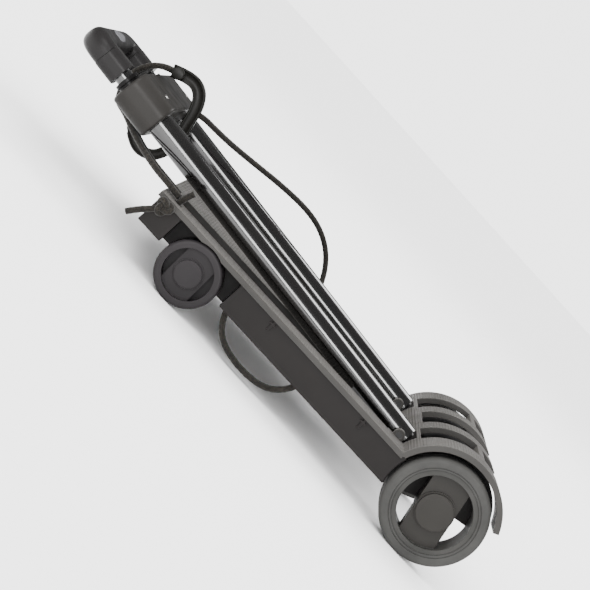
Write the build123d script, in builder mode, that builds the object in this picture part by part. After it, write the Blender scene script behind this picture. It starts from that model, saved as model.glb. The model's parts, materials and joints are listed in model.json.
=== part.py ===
"""Folding luggage cart: a ribbed platform on two large and two small wheels, with a two-stage
telescopic handle that folds down over the deck and a hooked elastic cord."""

import os
from math import cos, pi, radians, sin, tan

from build123d import *

os.makedirs("parts", exist_ok=True)

# Driving dimensions, in millimetres and degrees. X runs from the small front wheels (-X) to the
# large rear wheels (+X), Y across, Z up. Every piece is then moved along X by TO_MIDDLE, which puts
# the origin on the floor, midway along the folded cart.
TO_MIDDLE = 5.9
SIDES = {"left": -1, "right": 1}
BASE_HALF_WIDTH = 123
DECK_FRONT_X = -142
DECK_TOP_Z = 65.5
DECK_THICKNESS = 2.4
LIP_WIDTH = 3
LIP_BOTTOM_Z = 60.5
SKIRT_BOTTOM_Z = 32.5
SKIRT_THICKNESS = 3
WALL = 2.5

REAR_X, REAR_Z = 230, 50
REAR_RADIUS = 50
REAR_RIM_RADIUS = 38.6
REAR_WINDOW_RADIUS = 34.2
REAR_CAP_RADIUS = 17
REAR_BAR_WIDTH = 37
REAR_BAR_ANGLE = 105
REAR_WHEEL_INNER, REAR_WHEEL_OUTER = 97, 127
REAR_AXLE_RADIUS = 4

FRONT_X, FRONT_Z = -73, 31
FRONT_RADIUS = 31
FRONT_RECESS_RADIUS = 23.7
FRONT_CAP_RADIUS = 12.5
FRONT_BAR_WIDTH = 32
FRONT_BAR_ANGLE = 92
FRONT_WHEEL_INNER, FRONT_WHEEL_OUTER = 96, 121
FRONT_AXLE_RADIUS = 3

FENDER_OUTER, FENDER_INNER = 60.5, 55
FENDER_TIP_ANGLE = 28
INNER_RIB_TIP_ANGLE = 64
VALLEY_ANGLE = 165
STOP_BAR_START, STOP_BAR_END = 152.5, 149
CREST_BAR_START, CREST_BAR_END = 94, 88
MIDDLE_GAP_START = 146
MIDDLE_GAP_HALF = 24
SLOT_INNER_Y, SLOT_OUTER_Y = 48, 90

TUBE_HALF_SPACING = 70
PIVOT_X, PIVOT_Z = 163, 68.6
FOLDED_TILT = 4.7
OUTER_TUBE_RADIUS, OUTER_TUBE_BORE = 12.5, 11.3
MID_TUBE_RADIUS, MID_TUBE_BORE = 10.5, 9.3
INNER_TUBE_RADIUS, INNER_TUBE_BORE = 8.5, 7.4
RUNNING_GAP = 0.05
TUBE_END = -8
COLLAR_START, COLLAR_END = 354, 396.5
COLLAR_HALF_DEPTH = 19.5
COLLAR_HALF_WIDTH = 92
OUTER_TUBE_END = 384
MID_TUBE_START, MID_TUBE_END = 30, 400
INNER_TUBE_START, INNER_TUBE_END = 42, 436
GRIP_START, GRIP_SEAM, GRIP_END = 409, 431, 459.5
GRIP_HALF_DEPTH = 12.5
GRIP_LEG_HALF_WIDTH = 13.5
GRIP_BAR_START = 436
PIVOT_PIN_RADIUS = 3
LOCK_HOLE_S = 324
LOCK_HOLE_RADIUS = 3
MID_STROKE = 270

CORD_RADIUS = 3
HOOK_Y = 5

# Position along the tube, height above its axis and Y make up the handle's own frame.
TUBE_DIRECTION = (-cos(radians(FOLDED_TILT)), 0, sin(radians(FOLDED_TILT)))
TUBE_NORMAL = (sin(radians(FOLDED_TILT)), 0, cos(radians(FOLDED_TILT)))


def save(builder, name):
    """Label a finished piece and write it to its own file."""
    piece = builder.part.moved(Location((TO_MIDDLE, 0, 0)))
    piece.label = name
    export_step(piece, f"parts/{name}.step")


def on_handle(s, n, y=0.0):
    """Point at distance s along the folded tubes from the pivot and n above their axis."""
    return (
        PIVOT_X + s * TUBE_DIRECTION[0] + n * TUBE_NORMAL[0],
        y,
        PIVOT_Z + s * TUBE_DIRECTION[2] + n * TUBE_NORMAL[2],
    )


def across_tubes(s):
    """Plane square to the tubes at distance s: its x is -Y and its y points away from the deck."""
    return Plane(origin=on_handle(s, 0), x_dir=(0, -1, 0), z_dir=TUBE_DIRECTION)


def along_tubes(n):
    """Plane parallel to the tubes at height n: its x runs up the tubes and its y is -Y."""
    return Plane(origin=on_handle(0, n), x_dir=TUBE_DIRECTION, z_dir=TUBE_NORMAL)


def upright(y):
    """Vertical lengthways plane at Y = y, from which an extrusion goes towards -Y."""
    return Plane.XZ.offset(-y)


def high_y(side, inner, outer):
    """Largest Y of a piece that lies from inner to outer on one side of the middle."""
    return outer if side > 0 else -inner


def box(x, y, z, mode=Mode.ADD):
    """Block between two corners, given as pairs of limits along X, Y and Z."""
    with Locations(((x[0] + x[1]) / 2, (y[0] + y[1]) / 2, (z[0] + z[1]) / 2)):
        Box(x[1] - x[0], y[1] - y[0], z[1] - z[0], mode=mode)


def side_boxes(x, y, z, mode=Mode.ADD):
    """The same block on both sides of the cart, with y measured outwards from the middle."""
    for side in SIDES.values():
        box(x, sorted((side * y[0], side * y[1])), z, mode)


def disc(centre, radius, side, inner, outer, mode=Mode.ADD):
    """Cylinder across the cart, from inner to outer on one side of the middle."""
    with BuildSketch(upright(high_y(side, inner, outer))) as face:
        with Locations(centre):
            Circle(radius)
    extrude(face.sketch, amount=outer - inner, mode=mode)


def ring_sector(inner, outer, start, stop):
    """Sketch part between two radii about the rear axle, from one angle to another."""
    with BuildLine() as outline:
        low = CenterArc((REAR_X, REAR_Z), inner, start, stop - start)
        high = CenterArc((REAR_X, REAR_Z), outer, start, stop - start)
        Line(low @ 0, high @ 0)
        Line(low @ 1, high @ 1)
    make_face(outline.edges())


def cut_sector(start, stop, y_inner, y_outer):
    """Open the fender between two angles, on both sides, from y_inner to y_outer."""
    for side in SIDES.values():
        with BuildSketch(upright(high_y(side, y_inner, y_outer))) as opening:
            ring_sector(FENDER_INNER - 6, FENDER_OUTER + 6, start, stop)
        extrude(opening.sketch, amount=y_outer - y_inner, mode=Mode.SUBTRACT)


def tube_piece(name, side, radius, bore, start, end):
    """Straight round tube or ring about one handle tube's axis."""
    with BuildPart() as piece:
        with BuildSketch(across_tubes(start)):
            with Locations((-side * TUBE_HALF_SPACING, 0)):
                Circle(radius)
                if bore:
                    Circle(bore, mode=Mode.SUBTRACT)
        extrude(amount=end - start)
    save(piece, name)


AXLE_REAR = (REAR_X, REAR_Z)
AXLE_FRONT = (FRONT_X, FRONT_Z)
DECK_BOTTOM_Z = DECK_TOP_Z - DECK_THICKNESS
PANEL_OUTER_Y = BASE_HALF_WIDTH - LIP_WIDTH
PANEL_INNER_Y = PANEL_OUTER_Y - SKIRT_THICKNESS

# Deck: a plate with a turned-down lip, two troughs for the tubes and four ribs over the wheels.
TROUGH_FLOOR_Z = 59.9
TROUGH_FRONT_X, TROUGH_REAR_X = -125, 104
TROUGH_INNER_Y, TROUGH_OUTER_Y = 50, 90
CHANNEL_INNER_Y, CHANNEL_OUTER_Y = 55.5, 84.5
WIDE_HOLE_REAR_X = 152
CHANNEL_REAR_X = 172.5
DECK_REAR_X = 175
EAR_THICKNESS = 5
EAR_RADIUS = 5.5
EAR_BOTTOM_Z = 58
BULKHEAD_INNER_Y, BULKHEAD_OUTER_Y = 90.5, 93.5
CROSS_WALL_X = (74, 146)
CROSS_WALL_TOP_Z = 57
MARK_X = (10, 128)
SKIRT_REAR_X = REAR_X - 40
CORD_HOLE_X, CORD_HOLE_Y = -125, -105
SCREW_X = (-20, 68, 140)
SIDE_SCREW_Y = 104
SCREW_PLACES = [(x, y) for x in SCREW_X for y in (-SIDE_SCREW_Y, 0, SIDE_SCREW_Y)]
SCREW_RADIUS = 1.5
SCREW_BOSS_RADIUS = 4
SCREW_BOSS_HEIGHT = 5
with BuildPart() as deck_cover:
    with BuildSketch(upright(BASE_HALF_WIDTH)) as profile:
        with Locations(((DECK_FRONT_X + DECK_REAR_X) / 2, DECK_TOP_Z - DECK_THICKNESS / 2)):
            Rectangle(DECK_REAR_X - DECK_FRONT_X, DECK_THICKNESS)
        ring_sector(FENDER_INNER, FENDER_OUTER, FENDER_TIP_ANGLE, VALLEY_ANGLE + 1)
    extrude(amount=2 * BASE_HALF_WIDTH)
    side_boxes((DECK_FRONT_X, DECK_REAR_X - 1), (PANEL_OUTER_Y, BASE_HALF_WIDTH), (LIP_BOTTOM_Z, DECK_BOTTOM_Z))
    box((DECK_FRONT_X, DECK_FRONT_X + LIP_WIDTH), (-PANEL_OUTER_Y, PANEL_OUTER_Y), (LIP_BOTTOM_Z, DECK_BOTTOM_Z))
    side_boxes(
        (TROUGH_FRONT_X - WALL, TROUGH_REAR_X),
        (TROUGH_INNER_Y - WALL, TROUGH_OUTER_Y + WALL),
        (TROUGH_FLOOR_Z - WALL, DECK_BOTTOM_Z),
    )
    for ear in (TROUGH_INNER_Y, TROUGH_OUTER_Y - EAR_THICKNESS):
        for side in SIDES.values():
            disc((PIVOT_X, PIVOT_Z), EAR_RADIUS, side, ear, ear + EAR_THICKNESS)
            box(
                (PIVOT_X - EAR_RADIUS, PIVOT_X + EAR_RADIUS),
                sorted((side * ear, side * (ear + EAR_THICKNESS))),
                (EAR_BOTTOM_Z, PIVOT_Z),
            )
    side_boxes(
        (TROUGH_FRONT_X, TROUGH_REAR_X),
        (TROUGH_INNER_Y, TROUGH_OUTER_Y),
        (TROUGH_FLOOR_Z, DECK_TOP_Z + 1),
        Mode.SUBTRACT,
    )
    side_boxes(
        (TROUGH_REAR_X - 1, WIDE_HOLE_REAR_X),
        (TROUGH_INNER_Y, TROUGH_OUTER_Y),
        (TROUGH_FLOOR_Z, DECK_TOP_Z + 1),
        Mode.SUBTRACT,
    )
    side_boxes(
        (WIDE_HOLE_REAR_X - 1, CHANNEL_REAR_X),
        (CHANNEL_INNER_Y, CHANNEL_OUTER_Y),
        (TROUGH_FLOOR_Z, 85),
        Mode.SUBTRACT,
    )
    cut_sector(STOP_BAR_START, 172, CHANNEL_INNER_Y, CHANNEL_OUTER_Y)
    cut_sector(CREST_BAR_START, STOP_BAR_END, SLOT_INNER_Y, SLOT_OUTER_Y)
    cut_sector(FENDER_TIP_ANGLE - 5, CREST_BAR_END, SLOT_INNER_Y, SLOT_OUTER_Y)
    cut_sector(FENDER_TIP_ANGLE - 5, INNER_RIB_TIP_ANGLE, MIDDLE_GAP_HALF, SLOT_INNER_Y)
    cut_sector(FENDER_TIP_ANGLE - 5, MIDDLE_GAP_START, 0, MIDDLE_GAP_HALF)
    for side in SIDES.values():
        disc((PIVOT_X, PIVOT_Z), PIVOT_PIN_RADIUS, side, TROUGH_INNER_Y - 1, TROUGH_OUTER_Y + 1, Mode.SUBTRACT)
    with Locations(*[(x, y, DECK_BOTTOM_Z - SCREW_BOSS_HEIGHT / 2) for x, y in SCREW_PLACES]):
        Cylinder(SCREW_BOSS_RADIUS, SCREW_BOSS_HEIGHT)
        Cylinder(SCREW_RADIUS, SCREW_BOSS_HEIGHT, mode=Mode.SUBTRACT)
    with Locations((CORD_HOLE_X, CORD_HOLE_Y, DECK_TOP_Z)):
        Cylinder(4.5, 12, mode=Mode.SUBTRACT)
    for side in SIDES.values():
        disc(AXLE_FRONT, FRONT_RADIUS + 1, side, BULKHEAD_OUTER_Y, BASE_HALF_WIDTH + 1, Mode.SUBTRACT)
save(deck_cover, "deck_cover")

# Side frame: skirts, end walls, wheel wells and bulkheads that carry both axles.
WELL_FRONT_X, WELL_REAR_X = -112, -34
FRONT_WALL_X = DECK_FRONT_X + 3
SCREW_TAB_TOP_Z = DECK_BOTTOM_Z - SCREW_BOSS_HEIGHT
SCREW_TAB_THICKNESS = 3
SCREW_TAB_HALF_WIDTH = 6
with BuildPart() as side_frame:
    skirt_heights = (SKIRT_BOTTOM_Z, DECK_BOTTOM_Z)
    for start, end in ((FRONT_WALL_X, WELL_FRONT_X), (WELL_REAR_X, SKIRT_REAR_X)):
        side_boxes((start, end), (PANEL_INNER_Y, PANEL_OUTER_Y), skirt_heights)
    for start in (FRONT_WALL_X, WELL_FRONT_X - WALL, WELL_REAR_X):
        box((start, start + WALL), (-PANEL_INNER_Y, PANEL_INNER_Y), skirt_heights)
    side_boxes(
        (WELL_FRONT_X - WALL, SKIRT_REAR_X), (BULKHEAD_INNER_Y + 2, BULKHEAD_OUTER_Y), skirt_heights
    )
    for x in CROSS_WALL_X:
        box((x - WALL / 2, x + WALL / 2), (-PANEL_INNER_Y, PANEL_INNER_Y), (SKIRT_BOTTOM_Z + 4, CROSS_WALL_TOP_Z))
    for x in MARK_X:
        side_boxes((x - 1, x + 1), (PANEL_OUTER_Y, PANEL_OUTER_Y + 2), (50, LIP_BOTTOM_Z))
        side_boxes((x - 3, x + 3), (PANEL_OUTER_Y, PANEL_OUTER_Y + 2), (56, 58))
    with BuildSketch(upright(PANEL_OUTER_Y + 1)):
        with Locations(AXLE_REAR):
            Circle(REAR_RADIUS + 3)
    extrude(amount=PANEL_OUTER_Y - BULKHEAD_OUTER_Y + 1, mode=Mode.SUBTRACT)
    with BuildSketch(upright(-BULKHEAD_OUTER_Y)):
        with Locations(AXLE_REAR):
            Circle(REAR_RADIUS + 3)
    extrude(amount=PANEL_OUTER_Y - BULKHEAD_OUTER_Y + 1, mode=Mode.SUBTRACT)
    for side in SIDES.values():
        with BuildSketch(upright(high_y(side, BULKHEAD_INNER_Y, BULKHEAD_OUTER_Y))):
            ring_sector(1, 53.5, 12, 205)
            with Locations(AXLE_REAR):
                Circle(16)
        extrude(amount=BULKHEAD_OUTER_Y - BULKHEAD_INNER_Y)
        with BuildSketch(upright(high_y(side, MIDDLE_GAP_HALF, BULKHEAD_INNER_Y))):
            ring_sector(48, 50.5, 60, 150)
        extrude(amount=BULKHEAD_INNER_Y - MIDDLE_GAP_HALF)
        disc(AXLE_REAR, 9, side, BULKHEAD_OUTER_Y, REAR_WHEEL_INNER - 0.5)
        disc(AXLE_FRONT, 15, side, BULKHEAD_INNER_Y, BULKHEAD_OUTER_Y)
        disc(AXLE_FRONT, 7, side, BULKHEAD_OUTER_Y, FRONT_WHEEL_INNER - 0.5)
        disc(AXLE_REAR, REAR_AXLE_RADIUS, side, 60, 110, Mode.SUBTRACT)
        disc(AXLE_FRONT, FRONT_AXLE_RADIUS, side, 60, 110, Mode.SUBTRACT)
    tab_heights = (SCREW_TAB_TOP_Z - SCREW_TAB_THICKNESS, SCREW_TAB_TOP_Z)
    for x, y in SCREW_PLACES:
        box(
            (x - SCREW_TAB_HALF_WIDTH, x + SCREW_TAB_HALF_WIDTH),
            (y - SCREW_TAB_HALF_WIDTH, y + SCREW_TAB_HALF_WIDTH),
            tab_heights,
        )
    for y in (-SIDE_SCREW_Y, 0, SIDE_SCREW_Y):
        box((WELL_REAR_X, SCREW_X[0]), (y - SCREW_TAB_HALF_WIDTH, y + SCREW_TAB_HALF_WIDTH), tab_heights)
    with Locations(*[(x, y, SCREW_TAB_TOP_Z - SCREW_TAB_THICKNESS / 2) for x, y in SCREW_PLACES]):
        Cylinder(SCREW_RADIUS, SCREW_TAB_THICKNESS, mode=Mode.SUBTRACT)
    side_boxes(
        (TROUGH_FRONT_X - WALL, TROUGH_REAR_X),
        (TROUGH_INNER_Y - WALL, TROUGH_OUTER_Y + WALL),
        (TROUGH_FLOOR_Z - WALL, DECK_BOTTOM_Z + 1),
        Mode.SUBTRACT,
    )
save(side_frame, "side_frame")

SCREW_LENGTH = SCREW_TAB_THICKNESS + SCREW_BOSS_HEIGHT - 0.5
SCREW_HEAD_HEIGHT = 2
with BuildPart() as deck_screws:
    for x, y in SCREW_PLACES:
        with Locations((x, y, SCREW_TAB_TOP_Z - SCREW_TAB_THICKNESS)):
            Cylinder(SCREW_RADIUS, SCREW_LENGTH, align=(Align.CENTER, Align.CENTER, Align.MIN))
            Cylinder(2 * SCREW_RADIUS, SCREW_HEAD_HEIGHT, align=(Align.CENTER, Align.CENTER, Align.MAX))
save(deck_screws, "deck_screws")


def axle(name, centre, radius, half_length):
    """Steel rod right across the cart."""
    with BuildPart() as rod:
        with BuildSketch(upright(half_length)):
            with Locations(centre):
                Circle(radius)
        extrude(amount=2 * half_length)
    save(rod, name)


def axle_clips(name, centre, radius, place):
    """Push-on retaining rings near both ends of an axle."""
    with BuildPart() as clips:
        for side in SIDES.values():
            disc(centre, radius + 3.5, side, place, place + 1.5)
            disc(centre, radius, side, place, place + 1.5, Mode.SUBTRACT)
    save(clips, name)


REAR_CLIP_Y = REAR_WHEEL_OUTER - 12
FRONT_CLIP_Y = FRONT_WHEEL_OUTER - 10
axle("rear_axle", AXLE_REAR, REAR_AXLE_RADIUS, REAR_CLIP_Y + 3)
axle("front_axle", AXLE_FRONT, FRONT_AXLE_RADIUS, FRONT_CLIP_Y + 3)
axle_clips("rear_axle_clips", AXLE_REAR, REAR_AXLE_RADIUS, REAR_CLIP_Y)
axle_clips("front_axle_clips", AXLE_FRONT, FRONT_AXLE_RADIUS, FRONT_CLIP_Y)


def wheel_bar(side, centre, radius, width, angle, inner, outer):
    """Straight bar across a wheel, ending on a circle."""
    with BuildSketch(upright(high_y(side, inner, outer))) as bar:
        with Locations(centre):
            Circle(radius)
            Rectangle(2 * radius, width, rotation=angle, mode=Mode.INTERSECT)
    extrude(bar.sketch, amount=outer - inner)


def rear_wheel(side_name, side):
    """Large wheel: tyre, two-spoke hub and the cap that hides the axle's clip."""
    face = REAR_WHEEL_OUTER
    with BuildPart() as tyre:
        disc(AXLE_REAR, REAR_RADIUS, side, REAR_WHEEL_INNER, face)
        disc(AXLE_REAR, REAR_RIM_RADIUS, side, REAR_WHEEL_INNER, face, Mode.SUBTRACT)
        fillet(tyre.edges().filter_by(GeomType.CIRCLE).sort_by(SortBy.RADIUS)[-2:], 4)
    save(tyre, f"rear_tyre_{side_name}")
    with BuildPart() as hub:
        disc(AXLE_REAR, REAR_RIM_RADIUS, side, REAR_WHEEL_INNER + 1, face - 1)
        disc(AXLE_REAR, REAR_WINDOW_RADIUS, side, REAR_WHEEL_INNER, face, Mode.SUBTRACT)
        wheel_bar(
            side, AXLE_REAR, REAR_WINDOW_RADIUS + 1, REAR_BAR_WIDTH, REAR_BAR_ANGLE, face - 19, face - 7
        )
        disc(AXLE_REAR, REAR_CAP_RADIUS + 1.5, side, REAR_WHEEL_INNER, face - 5)
        disc(AXLE_REAR, REAR_CAP_RADIUS - 3, side, REAR_CLIP_Y - 0.7, face, Mode.SUBTRACT)
        disc(AXLE_REAR, REAR_AXLE_RADIUS + RUNNING_GAP, side, REAR_WHEEL_INNER, face, Mode.SUBTRACT)
    save(hub, f"rear_hub_{side_name}")
    with BuildPart() as cap:
        disc(AXLE_REAR, REAR_CAP_RADIUS, side, face - 5, face - 2)
        disc(AXLE_REAR, REAR_CAP_RADIUS - 3, side, face - 7, face - 5)
    save(cap, f"rear_hub_cap_{side_name}")


def front_wheel(side_name, side):
    """Small moulded wheel with a closed web, a raised bar and a cap over the axle's clip."""
    face = FRONT_WHEEL_OUTER
    with BuildPart() as wheel:
        disc(AXLE_FRONT, FRONT_RADIUS, side, FRONT_WHEEL_INNER, face)
        fillet(wheel.edges().filter_by(GeomType.CIRCLE), 3)
        disc(AXLE_FRONT, FRONT_RECESS_RADIUS, side, face - 13, face, Mode.SUBTRACT)
        disc(AXLE_FRONT, FRONT_RECESS_RADIUS, side, FRONT_WHEEL_INNER, face - 19, Mode.SUBTRACT)
        wheel_bar(
            side, AXLE_FRONT, FRONT_RECESS_RADIUS + 1, FRONT_BAR_WIDTH, FRONT_BAR_ANGLE, face - 14, face - 6
        )
        disc(AXLE_FRONT, FRONT_CAP_RADIUS + 1.5, side, FRONT_WHEEL_INNER, face - 5)
        disc(AXLE_FRONT, FRONT_CAP_RADIUS - 3, side, FRONT_CLIP_Y - 0.7, face, Mode.SUBTRACT)
        disc(AXLE_FRONT, FRONT_AXLE_RADIUS + RUNNING_GAP, side, FRONT_WHEEL_INNER, face, Mode.SUBTRACT)
    save(wheel, f"front_wheel_{side_name}")
    with BuildPart() as cap:
        disc(AXLE_FRONT, FRONT_CAP_RADIUS, side, face - 5, face - 2.5)
        disc(AXLE_FRONT, FRONT_CAP_RADIUS - 3, side, face - 6, face - 5)
    save(cap, f"front_wheel_cap_{side_name}")


for side_name, side in SIDES.items():
    rear_wheel(side_name, side)
    front_wheel(side_name, side)


def pivot_pin(side_name, side):
    """Steel pin on which one handle tube folds, held in the deck's ears."""
    with BuildPart() as pin:
        disc((PIVOT_X, PIVOT_Z), PIVOT_PIN_RADIUS, side, TROUGH_INNER_Y, TROUGH_OUTER_Y)
    save(pin, f"pivot_pin_{side_name}")


def cross_bore(side, radius):
    """Hole for the pivot pin across one handle tube."""
    disc((PIVOT_X, PIVOT_Z), radius, side, TROUGH_INNER_Y, TROUGH_OUTER_Y, Mode.SUBTRACT)


def outer_tube(side_name, side):
    """Fixed outer tube with its pivot bore and the lock hole below the collar."""
    with BuildPart() as tube:
        with BuildSketch(across_tubes(TUBE_END)):
            with Locations((-side * TUBE_HALF_SPACING, 0)):
                Circle(OUTER_TUBE_RADIUS)
                Circle(OUTER_TUBE_BORE, mode=Mode.SUBTRACT)
        extrude(amount=OUTER_TUBE_END - TUBE_END)
        cross_bore(side, PIVOT_PIN_RADIUS + RUNNING_GAP)
        with BuildSketch(along_tubes(0)):
            with Locations((LOCK_HOLE_S, -side * TUBE_HALF_SPACING)):
                Circle(LOCK_HOLE_RADIUS)
        extrude(amount=OUTER_TUBE_RADIUS + 1, mode=Mode.SUBTRACT)
    save(tube, f"outer_tube_{side_name}")


def tube_end_plug(side_name, side):
    """Moulded plug that closes the tube's foot and runs on the pivot pin."""
    with BuildPart() as plug:
        with BuildSketch(across_tubes(TUBE_END - 3)):
            with Locations((-side * TUBE_HALF_SPACING, 0)):
                Circle(9)
        extrude(amount=3)
        with BuildSketch(across_tubes(TUBE_END)):
            with Locations((-side * TUBE_HALF_SPACING, 0)):
                Circle(OUTER_TUBE_BORE)
        extrude(amount=30)
        cross_bore(side, PIVOT_PIN_RADIUS + RUNNING_GAP)
    save(plug, f"tube_end_plug_{side_name}")


BUSH_LENGTH = 14
GUIDE_START = OUTER_TUBE_END
LOCK_PIN_RADIUS = 2.6


def lock_pins(name, s, start, end):
    """Sprung locking pins, held down inside the tube around them."""
    with BuildPart() as pins:
        with BuildSketch(along_tubes(start)):
            with Locations(*[(s, side * TUBE_HALF_SPACING) for side in SIDES.values()]):
                Circle(LOCK_PIN_RADIUS)
        extrude(amount=end - start)
    save(pins, name)


def drilled_tube(name, side, radius, bore, start, end, hole_s):
    """Telescoping tube with the hole that its locking pin stands in."""
    with BuildPart() as tube:
        with BuildSketch(across_tubes(start)):
            with Locations((-side * TUBE_HALF_SPACING, 0)):
                Circle(radius)
                Circle(bore, mode=Mode.SUBTRACT)
        extrude(amount=end - start)
        with BuildSketch(along_tubes(0)):
            with Locations(*[(s, -side * TUBE_HALF_SPACING) for s in hole_s]):
                Circle(LOCK_PIN_RADIUS)
        extrude(amount=radius + 1, mode=Mode.SUBTRACT)
    save(tube, name)


MID_PIN_S = LOCK_HOLE_S - MID_STROKE
INNER_PIN_S = MID_PIN_S + 12
for side_name, side in SIDES.items():
    pivot_pin(side_name, side)
    outer_tube(side_name, side)
    tube_end_plug(side_name, side)
    tube_piece(
        f"mid_tube_guide_{side_name}", side, OUTER_TUBE_RADIUS, MID_TUBE_RADIUS + RUNNING_GAP,
        GUIDE_START, COLLAR_END,
    )
    drilled_tube(
        f"mid_tube_{side_name}", side, MID_TUBE_RADIUS, MID_TUBE_BORE, MID_TUBE_START, MID_TUBE_END,
        (MID_PIN_S, INNER_PIN_S + MID_STROKE),
    )
    tube_piece(
        f"mid_tube_bush_{side_name}", side, OUTER_TUBE_BORE - 0.2, MID_TUBE_RADIUS,
        MID_TUBE_START, MID_TUBE_START + BUSH_LENGTH,
    )
    tube_piece(
        f"inner_tube_guide_{side_name}", side, MID_TUBE_RADIUS + 1.3, INNER_TUBE_RADIUS + RUNNING_GAP,
        MID_TUBE_END, MID_TUBE_END + 3.5,
    )
    drilled_tube(
        f"inner_tube_{side_name}", side, INNER_TUBE_RADIUS, INNER_TUBE_BORE,
        INNER_TUBE_START, INNER_TUBE_END, (INNER_PIN_S,),
    )
lock_pins("mid_lock_pins", MID_PIN_S, 9.5, 10.7)
lock_pins("inner_lock_pins", INNER_PIN_S, 6.0, 8.7)

# Collar: the moulded crossbar that joins both outer tubes.
with BuildPart() as collar:
    with BuildSketch(across_tubes(COLLAR_START)):
        RectangleRounded(2 * COLLAR_HALF_WIDTH, 2 * COLLAR_HALF_DEPTH, 15)
    extrude(amount=COLLAR_END - COLLAR_START)
    rims = collar.faces().filter_by(Axis((0, 0, 0), TUBE_DIRECTION))
    fillet(rims.edges(), 3)
    with BuildSketch(across_tubes(COLLAR_START)):
        with GridLocations(2 * TUBE_HALF_SPACING, 1, 2, 1):
            Circle(OUTER_TUBE_RADIUS)
    extrude(amount=COLLAR_END - COLLAR_START, mode=Mode.SUBTRACT)
    with BuildSketch(along_tubes(OUTER_TUBE_RADIUS)):
        with Locations(*[(COLLAR_START + 15, side * TUBE_HALF_SPACING) for side in SIDES.values()]):
            Circle(2.5)
    extrude(amount=COLLAR_HALF_DEPTH, mode=Mode.SUBTRACT)
save(collar, "collar")

with BuildPart() as collar_rivets:
    with BuildSketch(along_tubes(OUTER_TUBE_RADIUS)):
        with Locations(*[(COLLAR_START + 15, side * TUBE_HALF_SPACING) for side in SIDES.values()]):
            Circle(2.5)
    extrude(amount=COLLAR_HALF_DEPTH - OUTER_TUBE_RADIUS + 0.6)
save(collar_rivets, "collar_rivets")

# Grip: two ferrules, and a handle in two shells with the release button in its middle.
BUTTON_HALF_WIDTH = 22
BUTTON_START = GRIP_BAR_START + 4
GRIP_OUTER_Y = TUBE_HALF_SPACING + GRIP_LEG_HALF_WIDTH
for side_name, side in SIDES.items():
    with BuildPart() as ferrule:
        with BuildSketch(across_tubes(GRIP_START)):
            with Locations((-side * TUBE_HALF_SPACING, 0)):
                RectangleRounded(2 * GRIP_LEG_HALF_WIDTH, 2 * GRIP_HALF_DEPTH, 9)
                Circle(INNER_TUBE_RADIUS, mode=Mode.SUBTRACT)
        extrude(amount=GRIP_SEAM - GRIP_START)
    save(ferrule, f"grip_ferrule_{side_name}")


def grip_outline():
    """U shape of the handle, in the plane of the tubes."""
    with Locations(((GRIP_SEAM + GRIP_END) / 2, 0)):
        Rectangle(GRIP_END - GRIP_SEAM, 2 * GRIP_OUTER_Y)
    with Locations(((GRIP_SEAM + GRIP_BAR_START) / 2 - 1, 0)):
        Rectangle(
            GRIP_BAR_START - GRIP_SEAM + 2,
            2 * (TUBE_HALF_SPACING - GRIP_LEG_HALF_WIDTH),
            mode=Mode.SUBTRACT,
        )


for name, low, high in (("grip_lower_shell", -GRIP_HALF_DEPTH, 0), ("grip_upper_shell", 0, GRIP_HALF_DEPTH)):
    with BuildPart() as shell:
        with BuildSketch(along_tubes(low)):
            grip_outline()
        extrude(amount=high - low)
        outer_edges = shell.edges().filter_by(Axis((0, 0, 0), TUBE_NORMAL)).sort_by(
            Axis((0, 0, 0), TUBE_DIRECTION)
        )[-2:]
        fillet(outer_edges, 20)
        outer_face = shell.faces().sort_by(Axis((0, 0, 0), TUBE_NORMAL))[-1 if low == 0 else 0]
        rim = outer_face.edges().sort_by(Axis((0, 0, 0), TUBE_DIRECTION))[-3:]
        fillet(rim, 9)
        with BuildSketch(across_tubes(GRIP_SEAM)):
            with GridLocations(2 * TUBE_HALF_SPACING, 1, 2, 1):
                Circle(INNER_TUBE_RADIUS)
        extrude(amount=INNER_TUBE_END - GRIP_SEAM, mode=Mode.SUBTRACT)
        if low == 0:
            with BuildSketch(along_tubes(0)):
                with Locations(((BUTTON_START + 14) / 2 + BUTTON_START / 2, 0)):
                    Rectangle(14, 2 * BUTTON_HALF_WIDTH)
            extrude(amount=GRIP_HALF_DEPTH, mode=Mode.SUBTRACT)
    save(shell, name)

with BuildPart() as release_button:
    with BuildSketch(along_tubes(6)):
        with Locations((BUTTON_START + 7, 0)):
            RectangleRounded(13, 2 * BUTTON_HALF_WIDTH - 1, 6)
    extrude(amount=GRIP_HALF_DEPTH - 4)
save(release_button, "release_button")

with BuildPart() as button_spring:
    with BuildSketch(along_tubes(0.5)):
        with Locations((BUTTON_START + 7, 0)):
            Circle(4)
            Circle(3, mode=Mode.SUBTRACT)
    extrude(amount=5.5)
save(button_spring, "button_spring")

# Elastic cord: routes are listed from one end to the other.
STRAND_FRONT = [
    (-128, -104, 69.8), (-142, -101, 70.6), (-158, -94, 70), (-174, -84, 70.4), (-190, -71, 71.6),
    (-206, -56, 73.6), (-221, -39, 76.4), on_handle(399, -25, -23), on_handle(409, -12, -13),
    on_handle(412, 4, -7), on_handle(407, 19, -4), on_handle(397, 29, -2), on_handle(386, 33, -1),
]
STRAND_BACK = [
    (-131, -92, 69.8), (-145, -89, 70.6), (-161, -81, 70), (-177, -70, 70.4), (-193, -56, 71.6),
    (-208, -40, 73.6), (-222, -22, 76.4), on_handle(399, -25, -5), on_handle(409, -12, 4),
    on_handle(412, 4, 9), on_handle(407, 19, 11), on_handle(397, 29, 12), on_handle(386, 33, 12),
]
LOOP_UPPER = [
    on_handle(341, 25, 8), on_handle(324, 27, 18), on_handle(302, 29, 33), on_handle(272, 34, 54),
    on_handle(240, 40, 71), on_handle(208, 44, 83), on_handle(184, 42, 90), on_handle(164, 34, 94),
    on_handle(149, 22, 95), on_handle(139, 9, 92), on_handle(134, 0, 83),
]
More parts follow.
